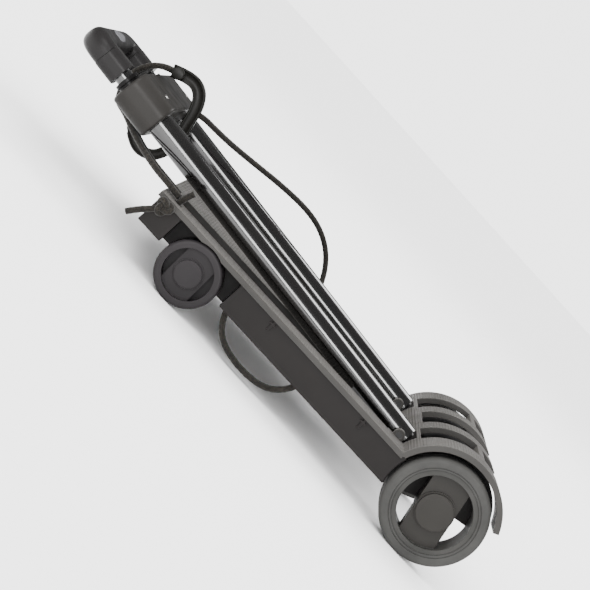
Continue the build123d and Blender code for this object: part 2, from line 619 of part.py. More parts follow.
LOOP_LOWER = [
    (-27, -113.5, 62.5), (-28, -113.5, 48), (-27, -113.5, 34), (-20, -113.5, 22), (-10, -113.5, 13),
    (8, -113.5, 8), (28, -113.5, 7.5), (46, -113.5, 11), (58, -113.5, 20), (65, -113.5, 33),
    (66, -113.5, 47), (65, -113.5, 62.5),
]
CORD_TAIL = [(-133, -130, 53), (-138, -130.5, 47), (-144, -130, 40), (-149, -129, 32)]
CORD_STUB = [(-125, -105, 66), (-124, -105, 74), (-121, -106, 82)]
HOOK_PATH = [
    (391, 31), (376, 40), (361, 40), (350, 29), (342, 8), (335, -14), (338, -32), (350, -41), (363, -40),
    (375, -33),
]
HOOK_WIDTH, HOOK_DEPTH = 10, 9
HOOK_BARREL = (385, 34)
HOOK_BARREL_RADIUS, HOOK_BARREL_LENGTH = 6.5, 24
KNOT_CENTRE = (-130, -130.5, 58)
KNOT_RADIUS = 7


def bend_radii(points):
    """Largest corner radii that the neighbouring runs allow."""
    radii = []
    for before, corner, after in zip(points, points[1:], points[2:]):
        run_in = Vector(*corner) - Vector(*before)
        run_out = Vector(*after) - Vector(*corner)
        turn = radians(run_in.get_angle(run_out))
        radii.append(0.45 * min(run_in.length, run_out.length) / tan(turn / 2))
    return radii


def cord(name, points):
    """Round cord along straight runs joined by tangent arcs."""
    radii = bend_radii(points)
    with BuildPart() as strand:
        with BuildLine() as route:
            FilletPolyline(*points, radius=radii)
        with BuildSketch(Plane(origin=points[0], z_dir=Vector(*points[1]) - Vector(*points[0]))):
            Circle(CORD_RADIUS)
        sweep(path=route.wires()[0])
    length = route.wires()[0].length
    expected = pi * CORD_RADIUS**2 * length
    print(name, "length", round(length, 1), "radii", [round(radius, 1) for radius in radii])
    print("  volume", round(strand.part.volume), "section times length", round(expected))
    save(strand, name)


cord("cord_strand_front", STRAND_FRONT)
cord("cord_strand_back", STRAND_BACK)
cord("cord_loop_upper", LOOP_UPPER)
cord("cord_loop_lower", LOOP_LOWER)
cord("cord_tail", CORD_TAIL)
cord("cord_stub", CORD_STUB)

with BuildPart() as cord_knot:
    with Locations(KNOT_CENTRE):
        Sphere(KNOT_RADIUS)
save(cord_knot, "cord_knot")

# Hook: a flat moulded C that reaches round the collar, with a barrel that grips both cord strands.
with BuildPart() as bungee_hook:
    hook_points = [on_handle(s, n, HOOK_Y) for s, n in HOOK_PATH]
    with BuildLine() as hook_route:
        FilletPolyline(*hook_points, radius=bend_radii(hook_points))
    with BuildSketch(Plane(origin=hook_points[0], x_dir=(0, 1, 0), z_dir=hook_route.line % 0)):
        RectangleRounded(HOOK_WIDTH, HOOK_DEPTH, HOOK_WIDTH / 4)
    sweep(path=hook_route.wires()[0])
    with BuildSketch(upright(HOOK_Y + HOOK_BARREL_LENGTH / 2)):
        with Locations((on_handle(*HOOK_BARREL)[0], on_handle(*HOOK_BARREL)[2])):
            Circle(HOOK_BARREL_RADIUS)
    extrude(amount=HOOK_BARREL_LENGTH)
save(bungee_hook, "bungee_hook")
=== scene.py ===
import json
from math import copysign, cos, pi, radians, sin, tau

import bmesh
import bpy
from mathutils import Matrix, Vector


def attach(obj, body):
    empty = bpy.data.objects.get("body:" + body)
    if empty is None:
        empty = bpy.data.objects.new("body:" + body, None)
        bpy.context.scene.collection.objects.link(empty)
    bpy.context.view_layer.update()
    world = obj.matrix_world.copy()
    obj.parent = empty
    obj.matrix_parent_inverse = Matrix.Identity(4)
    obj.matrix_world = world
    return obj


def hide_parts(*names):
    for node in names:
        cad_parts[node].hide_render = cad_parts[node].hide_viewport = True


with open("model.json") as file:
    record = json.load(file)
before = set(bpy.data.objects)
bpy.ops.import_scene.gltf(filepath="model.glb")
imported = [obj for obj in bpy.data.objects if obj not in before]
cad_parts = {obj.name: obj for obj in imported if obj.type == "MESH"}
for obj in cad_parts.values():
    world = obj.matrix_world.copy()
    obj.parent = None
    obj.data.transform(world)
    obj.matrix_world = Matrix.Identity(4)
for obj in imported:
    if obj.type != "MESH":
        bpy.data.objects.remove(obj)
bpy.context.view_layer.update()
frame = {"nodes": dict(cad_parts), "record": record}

scene = bpy.context.scene

# ---------------------------------------------------------------- camera, floor and light
EYE = Vector((-0.0683, -1.4622, 0.2676))
HEADING, PITCH, ROLL = 0.058, -0.132, 0.836
LENS_MM, SENSOR_MM = 94.3, 36
FLOOR_HALF = 30
SKY_STRENGTH, SKY_IN_REFLECTIONS = 3.4, 0.3


def add_camera():
    """Camera nearly along the axles, rolled so that the cart leans as it does when carried."""
    ahead = Vector((cos(PITCH) * sin(HEADING), cos(PITCH) * cos(HEADING), sin(PITCH)))
    level_right = ahead.cross(Vector((0, 0, 1))).normalized()
    level_up = level_right.cross(ahead)
    right = cos(ROLL) * level_right + sin(ROLL) * level_up
    up = -sin(ROLL) * level_right + cos(ROLL) * level_up
    data = bpy.data.cameras.new("camera")
    data.lens = LENS_MM
    data.sensor_width = SENSOR_MM
    camera = bpy.data.objects.new("camera", data)
    camera.matrix_world = Matrix.Translation(EYE) @ Matrix((right, up, -ahead)).transposed().to_4x4()
    scene.collection.objects.link(camera)
    scene.camera = camera


def area_light(name, place, target, size, power, shape=1.0):
    """Soft rectangular light that faces its target."""
    data = bpy.data.lights.new(name, "AREA")
    data.shape = "RECTANGLE"
    data.size = size
    data.size_y = size * shape
    data.energy = power
    light = bpy.data.objects.new(name, data)
    light.location = place
    light.rotation_euler = (Vector(target) - Vector(place)).to_track_quat("-Z", "Y").to_euler()
    scene.collection.objects.link(light)
    return light


def add_floor():
    """Wide pale floor that reaches past every view's horizon."""
    mesh = bpy.data.meshes.new("floor")
    corners = [(x * FLOOR_HALF, y * FLOOR_HALF, 0) for x, y in ((-1, -1), (1, -1), (1, 1), (-1, 1))]
    mesh.from_pydata(corners, [], [(0, 1, 2, 3)])
    floor = bpy.data.objects.new("floor", mesh)
    scene.collection.objects.link(floor)
    material = bpy.data.materials.new("floor")
    material.use_nodes = True
    shader = material.node_tree.nodes["Principled BSDF"]
    shader.inputs["Base Color"].default_value = (0.9, 0.9, 0.9, 1)
    shader.inputs["Roughness"].default_value = 0.9
    shader.inputs["Specular IOR Level"].default_value = 0.1
    mesh.materials.append(material)


def add_world():
    """White surroundings that look dim in reflections, so that gloss shows only the lamps."""
    world = bpy.data.worlds.new("studio")
    world.use_nodes = True
    tree = world.node_tree
    path = tree.nodes.new("ShaderNodeLightPath")
    strength = tree.nodes.new("ShaderNodeMapRange")
    strength.inputs["To Min"].default_value = SKY_STRENGTH
    strength.inputs["To Max"].default_value = SKY_IN_REFLECTIONS
    tree.links.new(path.outputs["Is Glossy Ray"], strength.inputs["Value"])
    tree.links.new(strength.outputs["Result"], tree.nodes["Background"].inputs["Strength"])
    tree.nodes["Background"].inputs["Color"].default_value = (1, 1, 1, 1)
    scene.world = world


add_camera()
add_floor()
add_world()
area_light("key", (-1.6, -1.6, 2.2), (0, 0, 0.05), 1.4, 60)
area_light("rim", (0.9, 1.6, 2.4), (0, 0, 0.05), 1.4, 60)
gloss_card = area_light("gloss_card", (0.0, -1.6, 0.42), (0, 0, 0.09), 2.4, 55, 0.16)
gloss_card.visible_diffuse = False

# ---------------------------------------------------------------- materials
# Share of its named lightness that a colour keeps under the bright sky.
DEPTH = 0.45
REAR_AXLE = Vector((0.2359, 0, 0.05))
HUB_RIM_RADIUS = 0.0338
# The deck is flat ahead of VALLEY_X, and curves about the rear axle behind it.
VALLEY_X = 0.1785
FENDER_RADIUS = 0.0605
RIB_PITCH = 0.0028
# Sockets of a Mix node set to colour, where a name alone would find those of its other kinds.
FIRST_COLOUR, SECOND_COLOUR, MIXED_COLOUR = 6, 7, 2


class Shade:
    """Node material on one Principled shader, with helpers that keep the node code short."""

    def __init__(self, name, roughness, colour=(0.1, 0.1, 0.1), metallic=0.0, specular=0.5):
        self.material = bpy.data.materials.new(name)
        self.material.use_nodes = True
        self.tree = self.material.node_tree
        self.shader = self.tree.nodes["Principled BSDF"]
        self.shader.inputs["Base Color"].default_value = (*colour, 1)
        self.shader.inputs["Roughness"].default_value = roughness
        self.shader.inputs["Metallic"].default_value = metallic
        self.shader.inputs["Specular IOR Level"].default_value = specular
        self.coords = self.add("ShaderNodeTexCoord").outputs["Object"]

    def add(self, kind, **values):
        node = self.tree.nodes.new(kind)
        for key, value in values.items():
            if key in node.inputs:
                node.inputs[key].default_value = value
            else:
                setattr(node, key, value)
        return node

    def link(self, output, socket):
        self.tree.links.new(output, socket)

    def noise(self, scale, detail=3.0, stretch=(1, 1, 1)):
        """Noise in the object's own metres; scale is in features per metre."""
        mapping = self.add("ShaderNodeMapping")
        mapping.inputs["Scale"].default_value = stretch
        self.link(self.coords, mapping.inputs["Vector"])
        texture = self.add("ShaderNodeTexNoise", Scale=scale, Detail=detail)
        self.link(mapping.outputs["Vector"], texture.inputs["Vector"])
        return texture.outputs["Fac"]

    def ramp(self, source, low, high, stops=(0.35, 0.65)):
        """Colour that runs between two colours as the source rises."""
        ramp = self.add("ShaderNodeValToRGB")
        ramp.color_ramp.elements[0].position = stops[0]
        ramp.color_ramp.elements[1].position = stops[1]
        ramp.color_ramp.elements[0].color = (*low, 1)
        ramp.color_ramp.elements[1].color = (*high, 1)
        self.link(source, ramp.inputs["Fac"])
        return ramp.outputs["Color"]

    def span(self, source, low, high):
        """Number that runs from low to high as the source goes from 0.3 to 0.7."""
        node = self.add("ShaderNodeMapRange")
        node.inputs["From Min"].default_value = 0.3
        node.inputs["From Max"].default_value = 0.7
        node.inputs["To Min"].default_value = low
        node.inputs["To Max"].default_value = high
        self.link(source, node.inputs["Value"])
        return node.outputs["Result"]

    def math(self, operation, first, second=0):
        """Sum on one or two values; the second counts only where the operation takes two."""
        node = self.add("ShaderNodeMath", operation=operation)
        for socket, value in zip(node.inputs, (first, second)):
            if isinstance(value, (int, float)):
                socket.default_value = value
            else:
                self.link(value, socket)
        return node.outputs["Value"]

    def bump(self, height, strength, distance):
        """Add one more layer of relief; distance is its depth in metres."""
        node = self.add("ShaderNodeBump", Strength=strength, Distance=distance)
        self.link(height, node.inputs["Height"])
        normal = self.shader.inputs["Normal"]
        if normal.is_linked:
            self.link(normal.links[0].from_socket, node.inputs["Normal"])
        self.link(node.outputs["Normal"], normal)

    def colour(self, output):
        self.link(output, self.shader.inputs["Base Color"])

    def rough(self, output):
        self.link(output, self.shader.inputs["Roughness"])


def lighter(colour, factor):
    """Colour times a factor, kept as dark as the bright surroundings need."""
    return tuple(min(1, channel * factor * DEPTH) for channel in colour)


def moulded(name, colour, roughness, grain=900, depth=0.00006, edge_highlight=1.5, edge_radius=0.0009):
    """Moulded plastic: fine spark grain, faint flow marks, and a painted highlight that makes rounded edges a
    little paler.
    """
    shade = Shade(name, roughness, colour, specular=0.1)
    rounded = shade.add("ShaderNodeBevel", samples=4)
    rounded.inputs["Radius"].default_value = edge_radius
    geometry = shade.add("ShaderNodeNewGeometry")
    facing = shade.add("ShaderNodeVectorMath", operation="DOT_PRODUCT")
    shade.link(rounded.outputs["Normal"], facing.inputs[0])
    shade.link(geometry.outputs["Normal"], facing.inputs[1])
    # Mask of the rounded edges, where the painted highlight goes.
    edge = shade.ramp(facing.outputs["Value"], (1, 1, 1), (0, 0, 0), (0.75, 0.995))
    base = shade.ramp(shade.noise(14, 4), lighter(colour, 0.85), lighter(colour, 1.15))
    mix = shade.add("ShaderNodeMix", data_type="RGBA")
    shade.link(edge, mix.inputs["Factor"])
    shade.link(base, mix.inputs[FIRST_COLOUR])
    # Painted highlight: the edges' colour is the base colour made paler.
    mix.inputs[SECOND_COLOUR].default_value = (*lighter(colour, edge_highlight), 1)
    shade.colour(mix.outputs[MIXED_COLOUR])
    # plain keeps the colour with its painted edge highlight, for materials that build on it.
    shade.plain = mix
    shade.rough(shade.span(shade.noise(60, 5), roughness - 0.06, roughness + 0.08))
    shade.link(rounded.outputs["Normal"], shade.shader.inputs["Normal"])
    shade.bump(shade.noise(grain, 2), 0.5, depth)
    return shade


def around_rear_axle(shade):
    """The object's own x, y and z, the distance from the rear axle, and the arc about it, in metres."""
    split = shade.add("ShaderNodeSeparateXYZ")
    shade.link(shade.coords, split.inputs["Vector"])
    x = shade.math("SUBTRACT", split.outputs["X"], REAR_AXLE.x)
    z = shade.math("SUBTRACT", split.outputs["Z"], REAR_AXLE.z)
    squares = shade.math("ADD", shade.math("MULTIPLY", x, x), shade.math("MULTIPLY", z, z))
    distance = shade.math("SQRT", squares)
    arc = shade.math("MULTIPLY", shade.math("ARCTAN2", z, x), FENDER_RADIUS)
    return split, distance, arc


def deck_plastic():
    """Deck: light satin plastic with fine ribs across it that follow the fenders' curve, and painted shade on
    its side faces.
    """
    shade = moulded("deck_plastic", (0.16, 0.152, 0.142), 0.36, edge_highlight=2.2, edge_radius=0.0012)
    split, _, arc = around_rear_axle(shade)
    on_fender = shade.math("GREATER_THAN", split.outputs["X"], VALLEY_X)
    along = shade.math(
        "ADD", shade.math("MULTIPLY", split.outputs["X"], shade.math("SUBTRACT", 1, on_fender)),
        shade.math("MULTIPLY", arc, on_fender),
    )
    ribs = shade.math("SINE", shade.math("MULTIPLY", along, tau / RIB_PITCH))
    across = shade.math("SINE", shade.math("MULTIPLY", split.outputs["Y"], tau / (0.6 * RIB_PITCH)))
    grid = shade.math("ADD", ribs, shade.math("MULTIPLY", across, 0.4))
    # Faces that look along the axles: they get painted shade and no ribs.
    facing = shade.add("ShaderNodeSeparateXYZ")
    shade.link(shade.add("ShaderNodeNewGeometry").outputs["True Normal"], facing.inputs["Vector"])
    shaded_side_face = shade.math("GREATER_THAN", shade.math("ABSOLUTE", facing.outputs["Y"]), 0.8)
    # Painted shade: the side faces' colour is pulled part way to black.
    darker = shade.add("ShaderNodeMix", data_type="RGBA", blend_type="MULTIPLY")
    shade.link(shade.math("MULTIPLY", shaded_side_face, 0.55), darker.inputs["Factor"])
    shade.link(shade.plain.outputs[MIXED_COLOUR], darker.inputs[FIRST_COLOUR])
    darker.inputs[SECOND_COLOUR].default_value = (0, 0, 0, 1)
    shade.colour(darker.outputs[MIXED_COLOUR])
    shade.bump(shade.math("MULTIPLY", grid, shade.math("SUBTRACT", 1, shaded_side_face)), 0.6, 0.0004)
    return shade.material


def wheel_plastic():
    """Rear hub: the rim is as pale as the tyre, the bar and the recess behind it are darker."""
    shade = moulded("wheel_plastic", (0.04, 0.037, 0.033), 0.4, edge_highlight=1.8)
    distance = around_rear_axle(shade)[1]
    rim = shade.math("GREATER_THAN", distance, HUB_RIM_RADIUS)
    mix = shade.add("ShaderNodeMix", data_type="RGBA")
    shade.link(rim, mix.inputs["Factor"])
    shade.link(shade.plain.outputs[MIXED_COLOUR], mix.inputs[FIRST_COLOUR])
    pale = shade.ramp(shade.noise(30, 6), (0.024, 0.024, 0.022), (0.035, 0.034, 0.032))
    shade.link(pale, mix.inputs[SECOND_COLOUR])
    shade.colour(mix.outputs[MIXED_COLOUR])
    return shade.material


def tube_paint(name, colour, roughness):
    """Gloss paint on drawn tube, with faint scratches along it."""
    shade = Shade(name, roughness, colour, specular=0.7)
    shade.shader.inputs["Coat Weight"].default_value = 0.6
    shade.shader.inputs["Coat Roughness"].default_value = 0.06
    scratches = shade.noise(500, 2, (0.02, 1, 1))
    shade.rough(shade.span(scratches, roughness - 0.03, roughness + 0.05))
    shade.colour(shade.ramp(shade.noise(25, 3), lighter(colour, 0.8), lighter(colour, 1.3)))
    shade.bump(shade.noise(120, 2, (0.1, 1, 1)), 0.08, 0.0001)
    return shade.material


def tyre_rubber():
    """Hard grey rubber with a dusty bloom."""
    colour = (0.066, 0.065, 0.061)
    shade = Shade("tyre_rubber", 0.55, colour, specular=0.15)
    shade.colour(shade.ramp(shade.noise(30, 6), lighter(colour, 0.85), lighter(colour, 1.2)))
    shade.rough(shade.span(shade.noise(200, 4), 0.5, 0.68))
    shade.bump(shade.noise(1100, 3), 0.5, 0.00009)
    return shade.material


def steel():
    """Zinc-plated steel with turned marks."""
    shade = Shade("steel", 0.28, (0.62, 0.6, 0.58), metallic=1.0)
    shade.rough(shade.span(shade.noise(900, 3, (1, 0.1, 1)), 0.2, 0.42))
    shade.colour(shade.ramp(shade.noise(40, 3), (0.5, 0.48, 0.46), (0.7, 0.69, 0.67)))
    return shade.material


def cord_cloth():
    """Braided cover: dark yarns with a few brown flecks."""
    shade = Shade("cord_cloth", 0.75, (0.03, 0.026, 0.021), specular=0.08)
    fleck = shade.noise(900, 2)
    shade.colour(shade.ramp(fleck, (0.003, 0.0026, 0.0022), (0.02, 0.017, 0.013), (0.4, 0.66)))
    shade.bump(shade.noise(2500, 2), 0.5, 0.00015)
    shade.shader.inputs["Sheen Weight"].default_value = 0.12
    return shade.material


def blackened_steel():
    """Dark finish of the pivot pins."""
    shade = Shade("blackened_steel", 0.4, (0.02, 0.02, 0.02), metallic=0.6)
    shade.rough(shade.span(shade.noise(700, 3), 0.3, 0.5))
    shade.bump(shade.noise(1500, 2), 0.3, 0.00004)
    return shade.material


MATERIALS = {
    "deck_plastic": deck_plastic(),
    "skirt_plastic": moulded("skirt_plastic", (0.018, 0.015, 0.014), 0.42).material,
    "hook_plastic": moulded(
        "hook_plastic", (0.022, 0.021, 0.018), 0.38, edge_highlight=2.4, edge_radius=0.0006,
    ).material,
    "tyre_rubber": tyre_rubber(),
    "wheel_plastic": wheel_plastic(),
    "small_wheel_plastic": moulded("small_wheel_plastic", (0.034, 0.03, 0.032), 0.4, edge_highlight=1.9).material,
    "painted_tube": tube_paint("painted_tube", (0.005, 0.0045, 0.004), 0.16),
    "bright_tube": tube_paint("bright_tube", (0.012, 0.012, 0.012), 0.12),
    "bush_plastic": moulded("bush_plastic", (0.01, 0.009, 0.009), 0.3).material,
    "grip_plastic": moulded("grip_plastic", (0.03, 0.028, 0.028), 0.34).material,
    "button_plastic": moulded("button_plastic", (0.2, 0.2, 0.215), 0.32).material,
    "collar_plastic": moulded("collar_plastic", (0.04, 0.037, 0.034), 0.38, edge_highlight=2).material,
    "steel": steel(),
    "elastic_cord": cord_cloth(),
}
BLACKENED = blackened_steel()
for row in frame["record"]["subparts"]:
    node = frame["nodes"][row["node"]]
    blackened = row["node"].startswith("pivot_pin")
    for place in node.material_slots:
        place.link = "DATA"
        place.material = BLACKENED if blackened else MATERIALS[row["material_slot"]]

# ---------------------------------------------------------------- places on the cart
TO_MIDDLE = Vector((5.9, 0, 0))
PIVOT = Vector((163, 0, 68.6))
TILT = radians(4.7)
UP_TUBES = Vector((-cos(TILT), 0, sin(TILT)))
OFF_DECK = Vector((sin(TILT), 0, cos(TILT)))


def in_metres(point):
    """Drawn point in millimetres, moved to the frame's origin and put in metres."""
    return (Vector(point) + TO_MIDDLE) / 1000


def metres(points):
    return [in_metres(point) for point in points]


def on_handle(s, n, y=0.0):
    """Point in millimetres at s along the folded tubes from the pivot, n above their axis."""
    return PIVOT + s * UP_TUBES + n * OFF_DECK + Vector((0, y, 0))


# ---------------------------------------------------------------- lines and meshes
def centreline(points):
    """Points read from the smooth NURBS line through a route's control points."""
    curve = bpy.data.curves.new("route", "CURVE")
    curve.dimensions = "3D"
    curve.resolution_u = 24
    spline = curve.splines.new("NURBS")
    spline.points.add(len(points) - 1)
    for place, point in zip(spline.points, points):
        place.co = (*point, 1)
    spline.order_u = 3
    spline.use_endpoint_u = True
    holder = bpy.data.objects.new("route", curve)
    scene.collection.objects.link(holder)
    bpy.context.view_layer.update()
    mesh = bpy.data.meshes.new_from_object(holder)
    line = [vertex.co.copy() for vertex in mesh.vertices]
    bpy.data.objects.remove(holder)
    bpy.data.curves.remove(curve)
    bpy.data.meshes.remove(mesh)
    return line


def even_line(line, step):
    """The same line with points a fixed distance apart, and its length."""
    lengths = [0.0]
    for before, after in zip(line, line[1:]):
        lengths.append(lengths[-1] + (after - before).length)
    count = max(2, round(lengths[-1] / step))
    result, place = [], 0
    for index in range(count + 1):
        want = lengths[-1] * index / count
        while place < len(line) - 2 and lengths[place + 1] < want:
            place += 1
        share = (want - lengths[place]) / max(1e-9, lengths[place + 1] - lengths[place])
        result.append(line[place].lerp(line[place + 1], min(1, share)))
    return result, lengths[-1]


def mesh_object(name, mesh_data, material, smooth=True):
    """Object that holds a finished bmesh in one material."""
    mesh = bpy.data.meshes.new(name)
    mesh_data.to_mesh(mesh)
    mesh_data.free()
    piece = bpy.data.objects.new(name, mesh)
    scene.collection.objects.link(piece)
    mesh.materials.append(material)
    for face in mesh.polygons:
        face.use_smooth = smooth
    return piece


def skin(mesh_data, rings, closed=False):
    """Faces between neighbouring rings of points, and over both ends unless the last joins the first."""
    pairs = list(zip(rings, rings[1:]))
    if closed:
        pairs.append((rings[-1], rings[0]))
    for lower, upper in pairs:
        for step in range(len(lower)):
            following = (step + 1) % len(lower)
            mesh_data.faces.new((lower[step], lower[following], upper[following], upper[step]))
    if not closed:
        mesh_data.faces.new(list(reversed(rings[0])))
        mesh_data.faces.new(rings[-1])


def swept(name, line, section, material, side_hint, smooth=True, closed=False):
    """Mesh swept along a line. section(share) gives (towards side, away from it) offsets in metres."""
    mesh_data = bmesh.new()
    rings = []
    last = len(line) - 1
    for index, centre in enumerate(line):
        ahead = line[(index + 1) % len(line)] if closed else line[min(index + 1, last)]
        behind = line[index - 1] if closed else line[max(index - 1, 0)]
        tangent = (ahead - behind).normalized()
        side = (side_hint - tangent * side_hint.dot(tangent)).normalized()
        away = tangent.cross(side)
        rings.append([mesh_data.verts.new(centre + a * side + b * away) for a, b in section(index / last)])
    skin(mesh_data, rings, closed)
    bmesh.ops.recalc_face_normals(mesh_data, faces=mesh_data.faces)
    return mesh_object(name, mesh_data, material, smooth)


def turned(name, centre, profile, material, count=96, ring=False):
    """Solid of revolution about Y. profile is (y, radius) from one end to the other; a ring joins up."""
    mesh_data = bmesh.new()
    rings = []
    angles = [tau * step / count for step in range(count)]
    for y, radius in profile:
        offsets = [Vector((radius * cos(angle), y, radius * sin(angle))) for angle in angles]
        rings.append([mesh_data.verts.new(centre + offset) for offset in offsets])
    skin(mesh_data, rings, ring)
    bmesh.ops.recalc_face_normals(mesh_data, faces=mesh_data.faces)
    return mesh_object(name, mesh_data, material, smooth=not ring)


def joined(name, pieces):
    """One object made of several pieces that share a material."""
    mesh_data = bmesh.new()
    material = pieces[0].data.materials[0]
    for piece in pieces:
        mesh_data.from_mesh(piece.data)
        old = piece.data
        bpy.data.objects.remove(piece)
        bpy.data.meshes.remove(old)
    return mesh_object(name, mesh_data, material)


def superellipse(a, b, power, count):
    """Rounded oval outline with half widths a and b."""
    points = []
    for step in range(count):
        c, s = cos(tau * step / count), sin(tau * step / count)
        points.append((copysign(a * abs(c) ** (2 / power), c), copysign(b * abs(s) ** (2 / power), s)))
    return points


# ---------------------------------------------------------------- elastic cord
CORD_RADIUS = 0.003
CORD_STEP = 0.0009
BRAID_PITCH = 0.011
BRAID_YARNS = 6
BRAID_SIDES = 30
BRAID_RELIEF = 0.045
ROUTES = {
    "cord_strand_front": metres([
        (-128, -104, 69.8), (-142, -101, 70.6), (-158, -94, 70), (-174, -84, 70.4), (-190, -71, 71.6),
        (-206, -56, 73.6), (-221, -39, 76.4), on_handle(399, -25, -23), on_handle(409, -12, -13),
        on_handle(412, 4, -7), on_handle(407, 19, -4), on_handle(397, 29, -2), on_handle(386, 33, -1),
    ]),
    "cord_strand_back": metres([
        (-131, -92, 69.8), (-145, -89, 70.6), (-161, -81, 70), (-177, -70, 70.4), (-193, -56, 71.6),
        (-208, -40, 73.6), (-222, -22, 76.4), on_handle(399, -25, -5), on_handle(409, -12, 4),
        on_handle(412, 4, 9), on_handle(407, 19, 11), on_handle(397, 29, 12), on_handle(386, 33, 12),
    ]),
    "cord_loop_upper": metres([
        on_handle(348, 22, 6), on_handle(340, 26, 9), on_handle(324, 27, 18), on_handle(302, 29, 33),
        on_handle(272, 34, 54), on_handle(240, 40, 71), on_handle(208, 44, 83), on_handle(184, 42, 90),
        on_handle(164, 34, 94), on_handle(149, 22, 95), on_handle(139, 9, 92), on_handle(134, 0, 83),
    ]),
    "cord_loop_lower": metres([
        (-27, -113.5, 62.5), (-28, -113.5, 48), (-27, -113.5, 34), (-20, -113.5, 22), (-10, -113.5, 13),
        (8, -113.5, 8), (28, -113.5, 7.5), (46, -113.5, 11), (58, -113.5, 20), (65, -113.5, 33),
        (66, -113.5, 47), (65, -113.5, 62.5),
    ]),
    "cord_tail": metres([
        (-129, -130.5, 61), (-133, -130, 53), (-138, -130.5, 47), (-144, -130, 40), (-150, -129, 30.5),
    ]),
    "cord_stub": metres([(-125, -105, 66), (-124, -105, 74), (-121, -106, 82)]),
}


def braided_tube(name, line):
    """Tube along a line whose surface carries two crossing sets of yarns, closed at both ends."""
    normal = (line[1] - line[0]).orthogonal().normalized()
    mesh_data = bmesh.new()
    rings, travelled = [], 0.0
    for index, centre in enumerate(line):
        ahead = line[min(index + 1, len(line) - 1)]
        behind = line[max(index - 1, 0)]
        tangent = (ahead - behind).normalized()
        normal = (normal - tangent * normal.dot(tangent)).normalized()
        side = tangent.cross(normal)
        if index:
            travelled += (centre - line[index - 1]).length
        turn = tau * travelled / BRAID_PITCH
        ring = []
        for step in range(BRAID_SIDES):
            angle = tau * step / BRAID_SIDES
            over = sin(BRAID_YARNS * angle / 2 + turn) * sin(BRAID_YARNS * angle / 2 - turn)
            height = CORD_RADIUS * (1 - BRAID_RELIEF + BRAID_RELIEF * over)
            ring.append(mesh_data.verts.new(centre + height * (cos(angle) * normal + sin(angle) * side)))
        rings.append(ring)
    skin(mesh_data, rings)
    return mesh_object(name, mesh_data, MATERIALS["elastic_cord"])


def add_cord(node, body):
    """One length of the elastic cord, in place of its plain tube."""
    line, length = even_line(centreline(ROUTES[node]), CORD_STEP)
    piece = braided_tube(node + "_braid", line)
    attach(piece, body)
    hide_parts(node)
    return piece


# ---------------------------------------------------------------- knot
KNOT_CENTRE = Vector((-130, -130.5, 58))
KNOT_SPREAD, KNOT_DEPTH = 2.35, 1.9
KNOT_CORD_RADIUS = 0.0026
KNOT_STEPS = 160


def add_knot():
    """Tight overhand knot: a small trefoil of the same cord."""
    line = []
    for step in range(KNOT_STEPS):
        angle = tau * step / KNOT_STEPS
        line.append(in_metres(KNOT_CENTRE + Vector((
            KNOT_SPREAD * (sin(angle) + 2 * sin(2 * angle)),
            -KNOT_DEPTH * sin(3 * angle),
            KNOT_SPREAD * (cos(angle) - 2 * cos(2 * angle)),
        ))))
    piece = swept(
        "cord_knot_turns", line, lambda share: superellipse(KNOT_CORD_RADIUS, KNOT_CORD_RADIUS, 2, 20),
        MATERIALS["elastic_cord"], Vector((0.1, 1, 0.05)), closed=True,
    )
    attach(piece, "base")
    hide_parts("cord_knot")
    return piece


# ---------------------------------------------------------------- hook
HOOK_Y = 5
HOOK_PATH = [
    (391, 31), (376, 40), (361, 40), (350, 29), (342, 8), (335, -14), (338, -32), (350, -41), (363, -40),
    (375, -33),
]
HOOK_STEP = 0.0012
HOOK_HALF_THICKNESS = 0.005
HOOK_HALF_WIDTH = 0.0064
HOOK_NARROWS_BY = 0.0018
HOOK_TIP_FROM, HOOK_TIP_SCALE = 0.96, 0.8
HOOK_RIM = 0.0016
HOOK_WEB_DEPTH = 0.0014
HOOK_CORNER = 0.0007
HOOK_BARREL = (385, 34)
# (y, radius) of half the barrel, from the middle outwards; the other half mirrors it.
BARREL_HALF_PROFILE = [(0.007, 0.0056), (0.0075, 0.0062), (0.0112, 0.0062), (0.0118, 0.0052)]


def hook_section(share):
    """I-shaped section: flat rims along both edges and a sunk web, narrower towards the tip."""
    half = HOOK_HALF_WIDTH - HOOK_NARROWS_BY * share
    if share > HOOK_TIP_FROM:
        half *= HOOK_TIP_SCALE
    thick, inner = HOOK_HALF_THICKNESS, HOOK_HALF_THICKNESS - HOOK_WEB_DEPTH
    edge = half - HOOK_RIM
    upper = [
        (-thick + HOOK_CORNER, half), (thick - HOOK_CORNER, half), (thick, half - HOOK_CORNER), (thick, edge),
        (inner, edge - HOOK_CORNER),
    ]
    lower = [(a, -b) for a, b in reversed(upper)]
    right_side = [point for point in upper + lower if point[0] > 0]
    left_side = [(-a, b) for a, b in reversed(right_side)]
    return right_side + left_side


def add_hook():
    """Moulded C hook with raised rims, and the barrel that grips both ends of the cord."""
    path = metres([on_handle(s, n, HOOK_Y) for s, n in HOOK_PATH])
    line = even_line(centreline(path), HOOK_STEP)[0]
    body = swept("hook_body", line, hook_section, MATERIALS["hook_plastic"], Vector((0, 1, 0)), smooth=False)
    profile = [(-y, radius) for y, radius in reversed(BARREL_HALF_PROFILE)] + BARREL_HALF_PROFILE
    barrel_centre = in_metres(on_handle(*HOOK_BARREL, HOOK_Y))
    barrel = turned("hook_barrel", barrel_centre, profile, MATERIALS["hook_plastic"])
    piece = joined("bungee_hook_moulding", [body, barrel])
    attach(piece, "handle_frame")
    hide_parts("bungee_hook")
    return piece


